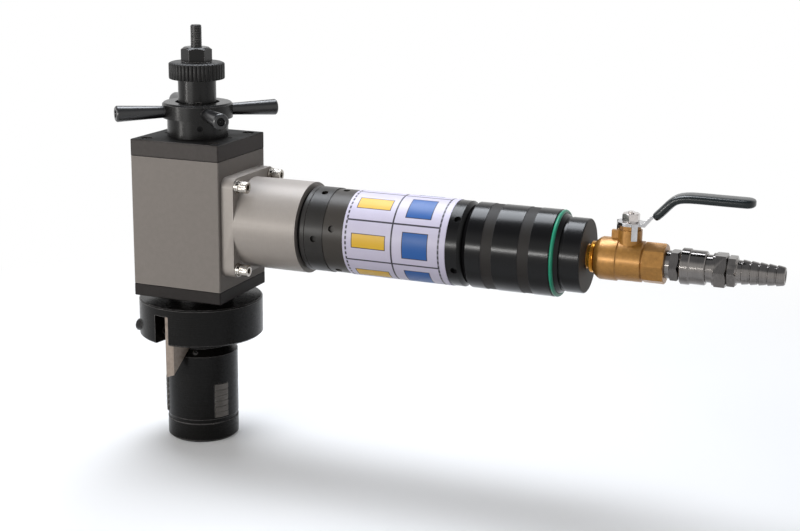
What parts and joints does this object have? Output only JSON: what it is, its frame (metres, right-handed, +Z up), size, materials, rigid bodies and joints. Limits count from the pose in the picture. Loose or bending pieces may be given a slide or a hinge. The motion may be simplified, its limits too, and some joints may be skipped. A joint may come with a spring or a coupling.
{
  "type": "pipe cutting and chamfering machine",
  "caption": "Air-driven portable pipe facing and bevelling machine with an expanding inner mandrel, a rotating tool head, a star-handle feed and a motor with a lever valve.",
  "frame": {"origin": "on the spindle axis, at mid height of the clamping jaws", "axes": "+Z up along the spindle towards the draw nut, +X along the motor towards the hose tail, +Y to the side away from the viewer"},
  "size_m": [0.5829, 0.1138, 0.3829],
  "materials": {
    "blasted_body": "bead blasted and hard coated, warm grey",
    "charcoal_plate": "fine blasted, charcoal anodised",
    "black_casing": "turned, black anodised, soft streak highlights",
    "black_steel": "turned, black oxide, lightly oiled",
    "bright_steel": "turned bright",
    "gear_steel": "ground tooth flanks, oiled",
    "bearing_steel": "ground and polished",
    "tool_steel": "ground, slightly brown",
    "stainless_screws": "bright stainless",
    "printed_wrap": "satin printed film",
    "teal_rubber": "moulded, satin",
    "cast_brass": "fine cast skin",
    "bright_brass": "turned bright",
    "nickel": "bright nickel plate",
    "zinc_plate": "zinc plated sheet",
    "dark_vinyl": "dipped, semi-gloss",
    "vane_composite": "laminated fibre, dull"
  },
  "bodies": {
    "mandrel": {"mandrel_shaft": "bright_steel", "jaw_carrier": "black_steel", "feed_sleeve": "black_steel", "knurled_ring": "black_steel"},
    "draw_nut": {"draw_nut": "black_steel"},
    "draw_bar": {"draw_bar": "black_steel"},
    "jaw_1": {"jaw_1": "gear_steel"},
    "jaw_2": {"jaw_2": "gear_steel"},
    "jaw_3": {"jaw_3": "gear_steel"},
    "housing": {"gearbox_block": "blasted_body", "top_plate": "charcoal_plate", "bottom_plate": "charcoal_plate", "plate_screws": "black_steel", "hub_base_ring": "black_steel", "guide_screw": "black_steel", "hub_snap_ring": "gear_steel", "spindle_bearing_outers": "bearing_steel", "motor_flange": "blasted_body", "flange_screws": "stainless_screws", "motor_bearing_outers": "bearing_steel", "ring_gear": "gear_steel", "front_casing_ring": "black_casing", "motor_casing": "black_casing", "wrap_sleeve": "printed_wrap", "grip_sleeve": "black_casing", "motor_liner": "gear_steel", "motor_end_plates": "gear_steel", "o_ring": "teal_rubber", "end_cap": "black_casing", "valve_body": "cast_brass", "valve_nipple": "bright_brass", "coupler_plug": "nickel"},
    "feed_hub": {"feed_hub": "black_steel", "feed_handles": "black_steel", "handle_screws": "black_steel"},
    "spindle": {"spindle": "gear_steel", "bevel_gear": "gear_steel", "spindle_bearing_inners": "bearing_steel", "spindle_lock_nut": "black_steel", "tool_head": "black_steel", "tool_head_screws": "black_steel", "bevel_tool": "tool_steel", "facing_tool": "tool_steel", "tool_clamp_screws": "black_steel"},
    "pinion": {"bevel_pinion": "gear_steel", "pinion_bearing_inners": "bearing_steel"},
    "planet_1": {"planet_gear_1": "gear_steel"},
    "planet_2": {"planet_gear_2": "gear_steel"},
    "planet_3": {"planet_gear_3": "gear_steel"},
    "rotor": {"rotor": "gear_steel", "rotor_vanes": "vane_composite", "rotor_bearing_inners": "bearing_steel"},
    "valve_lever": {"valve_ball": "nickel", "valve_stem": "bright_brass", "valve_lever": "zinc_plate", "lever_grip": "dark_vinyl", "lever_nut": "zinc_plate"},
    "socket": {"socket_body": "nickel", "hose_tail": "nickel"},
    "socket_sleeve": {"socket_sleeve": "nickel"}
  },
  "joints": [
    {"name": "hub_turn", "type": "hinge", "parent": "housing", "child": "feed_hub", "pos_m": [0, 0, 0.267], "axis": [0, 0, 1], "range_deg": [-1, 2281]},
    {"name": "feed_slide", "type": "slide", "parent": "mandrel", "child": "housing", "axis": [0, 0, 1], "range_m": [0, 0.019]},
    {"name": "nut_turn", "type": "hinge", "parent": "mandrel", "child": "draw_nut", "pos_m": [0, 0, 0.3168], "axis": [0, 0, 1], "range_deg": [-1969, 3385]},
    {"name": "bar_slide", "type": "slide", "parent": "mandrel", "child": "draw_bar", "axis": [0, 0, 1], "range_m": [-0.0141, 0.0082]},
    {"name": "jaw_1_slide", "type": "slide", "parent": "mandrel", "child": "jaw_1", "axis": [0, 1, 0], "range_m": [-0.00301, 0.00176]},
    {"name": "jaw_2_slide", "type": "slide", "parent": "mandrel", "child": "jaw_2", "axis": [-0.866, -0.5, 0], "range_m": [-0.00301, 0.00176]},
    {"name": "jaw_3_slide", "type": "slide", "parent": "mandrel", "child": "jaw_3", "axis": [0.866, -0.5, 0], "range_m": [-0.00301, 0.00176]},
    {"name": "rotor_spin", "type": "hinge", "parent": "housing", "child": "rotor", "pos_m": [0.162, 0, 0.1695], "axis": [1, 0, 0], "continuous": true},
    {"name": "pinion_spin", "type": "hinge", "parent": "housing", "child": "pinion", "pos_m": [0.06, 0, 0.1695], "axis": [1, 0, 0], "continuous": true},
    {"name": "spindle_spin", "type": "hinge", "parent": "housing", "child": "spindle", "pos_m": [0, 0, 0.12], "axis": [0, 0, 1], "continuous": true},
    {"name": "planet_1_spin", "type": "hinge", "parent": "pinion", "child": "planet_1", "pos_m": [0.09, 0, 0.1845], "axis": [1, 0, 0], "continuous": true},
    {"name": "planet_2_spin", "type": "hinge", "parent": "pinion", "child": "planet_2", "pos_m": [0.09, -0.01299, 0.162], "axis": [1, 0, 0], "continuous": true},
    {"name": "planet_3_spin", "type": "hinge", "parent": "pinion", "child": "planet_3", "pos_m": [0.09, 0.01299, 0.162], "axis": [1, 0, 0], "continuous": true},
    {"name": "valve_turn", "type": "hinge", "parent": "housing", "child": "valve_lever", "pos_m": [0.4, 0, 0.1995], "axis": [0, 0, 1], "range_deg": [-90, 0]},
    {"name": "socket_swivel", "type": "hinge", "parent": "housing", "child": "socket", "pos_m": [0.46, 0, 0.1695], "axis": [1, 0, 0], "continuous": true},
    {"name": "sleeve_pull", "type": "slide", "parent": "socket", "child": "socket_sleeve", "axis": [1, 0, 0], "range_m": [0, 0.0045], "stiffness_N_per_m": 800}
  ],
  "couplings": [
    {"joint": "hub_turn", "follows": "feed_slide", "rad_per_m": 2094.4},
    {"joint": "nut_turn", "follows": "bar_slide", "rad_per_m": -4188.8},
    {"joint": "jaw_1_slide", "follows": "bar_slide", "ratio": 0.21256},
    {"joint": "jaw_2_slide", "follows": "bar_slide", "ratio": 0.21256},
    {"joint": "jaw_3_slide", "follows": "bar_slide", "ratio": 0.21256},
    {"joint": "pinion_spin", "follows": "rotor_spin", "ratio": 0.2},
    {"joint": "spindle_spin", "follows": "rotor_spin", "ratio": 0.1},
    {"joint": "planet_1_spin", "follows": "rotor_spin", "ratio": -0.53333},
    {"joint": "planet_2_spin", "follows": "rotor_spin", "ratio": -0.53333},
    {"joint": "planet_3_spin", "follows": "rotor_spin", "ratio": -0.53333}
  ]
}
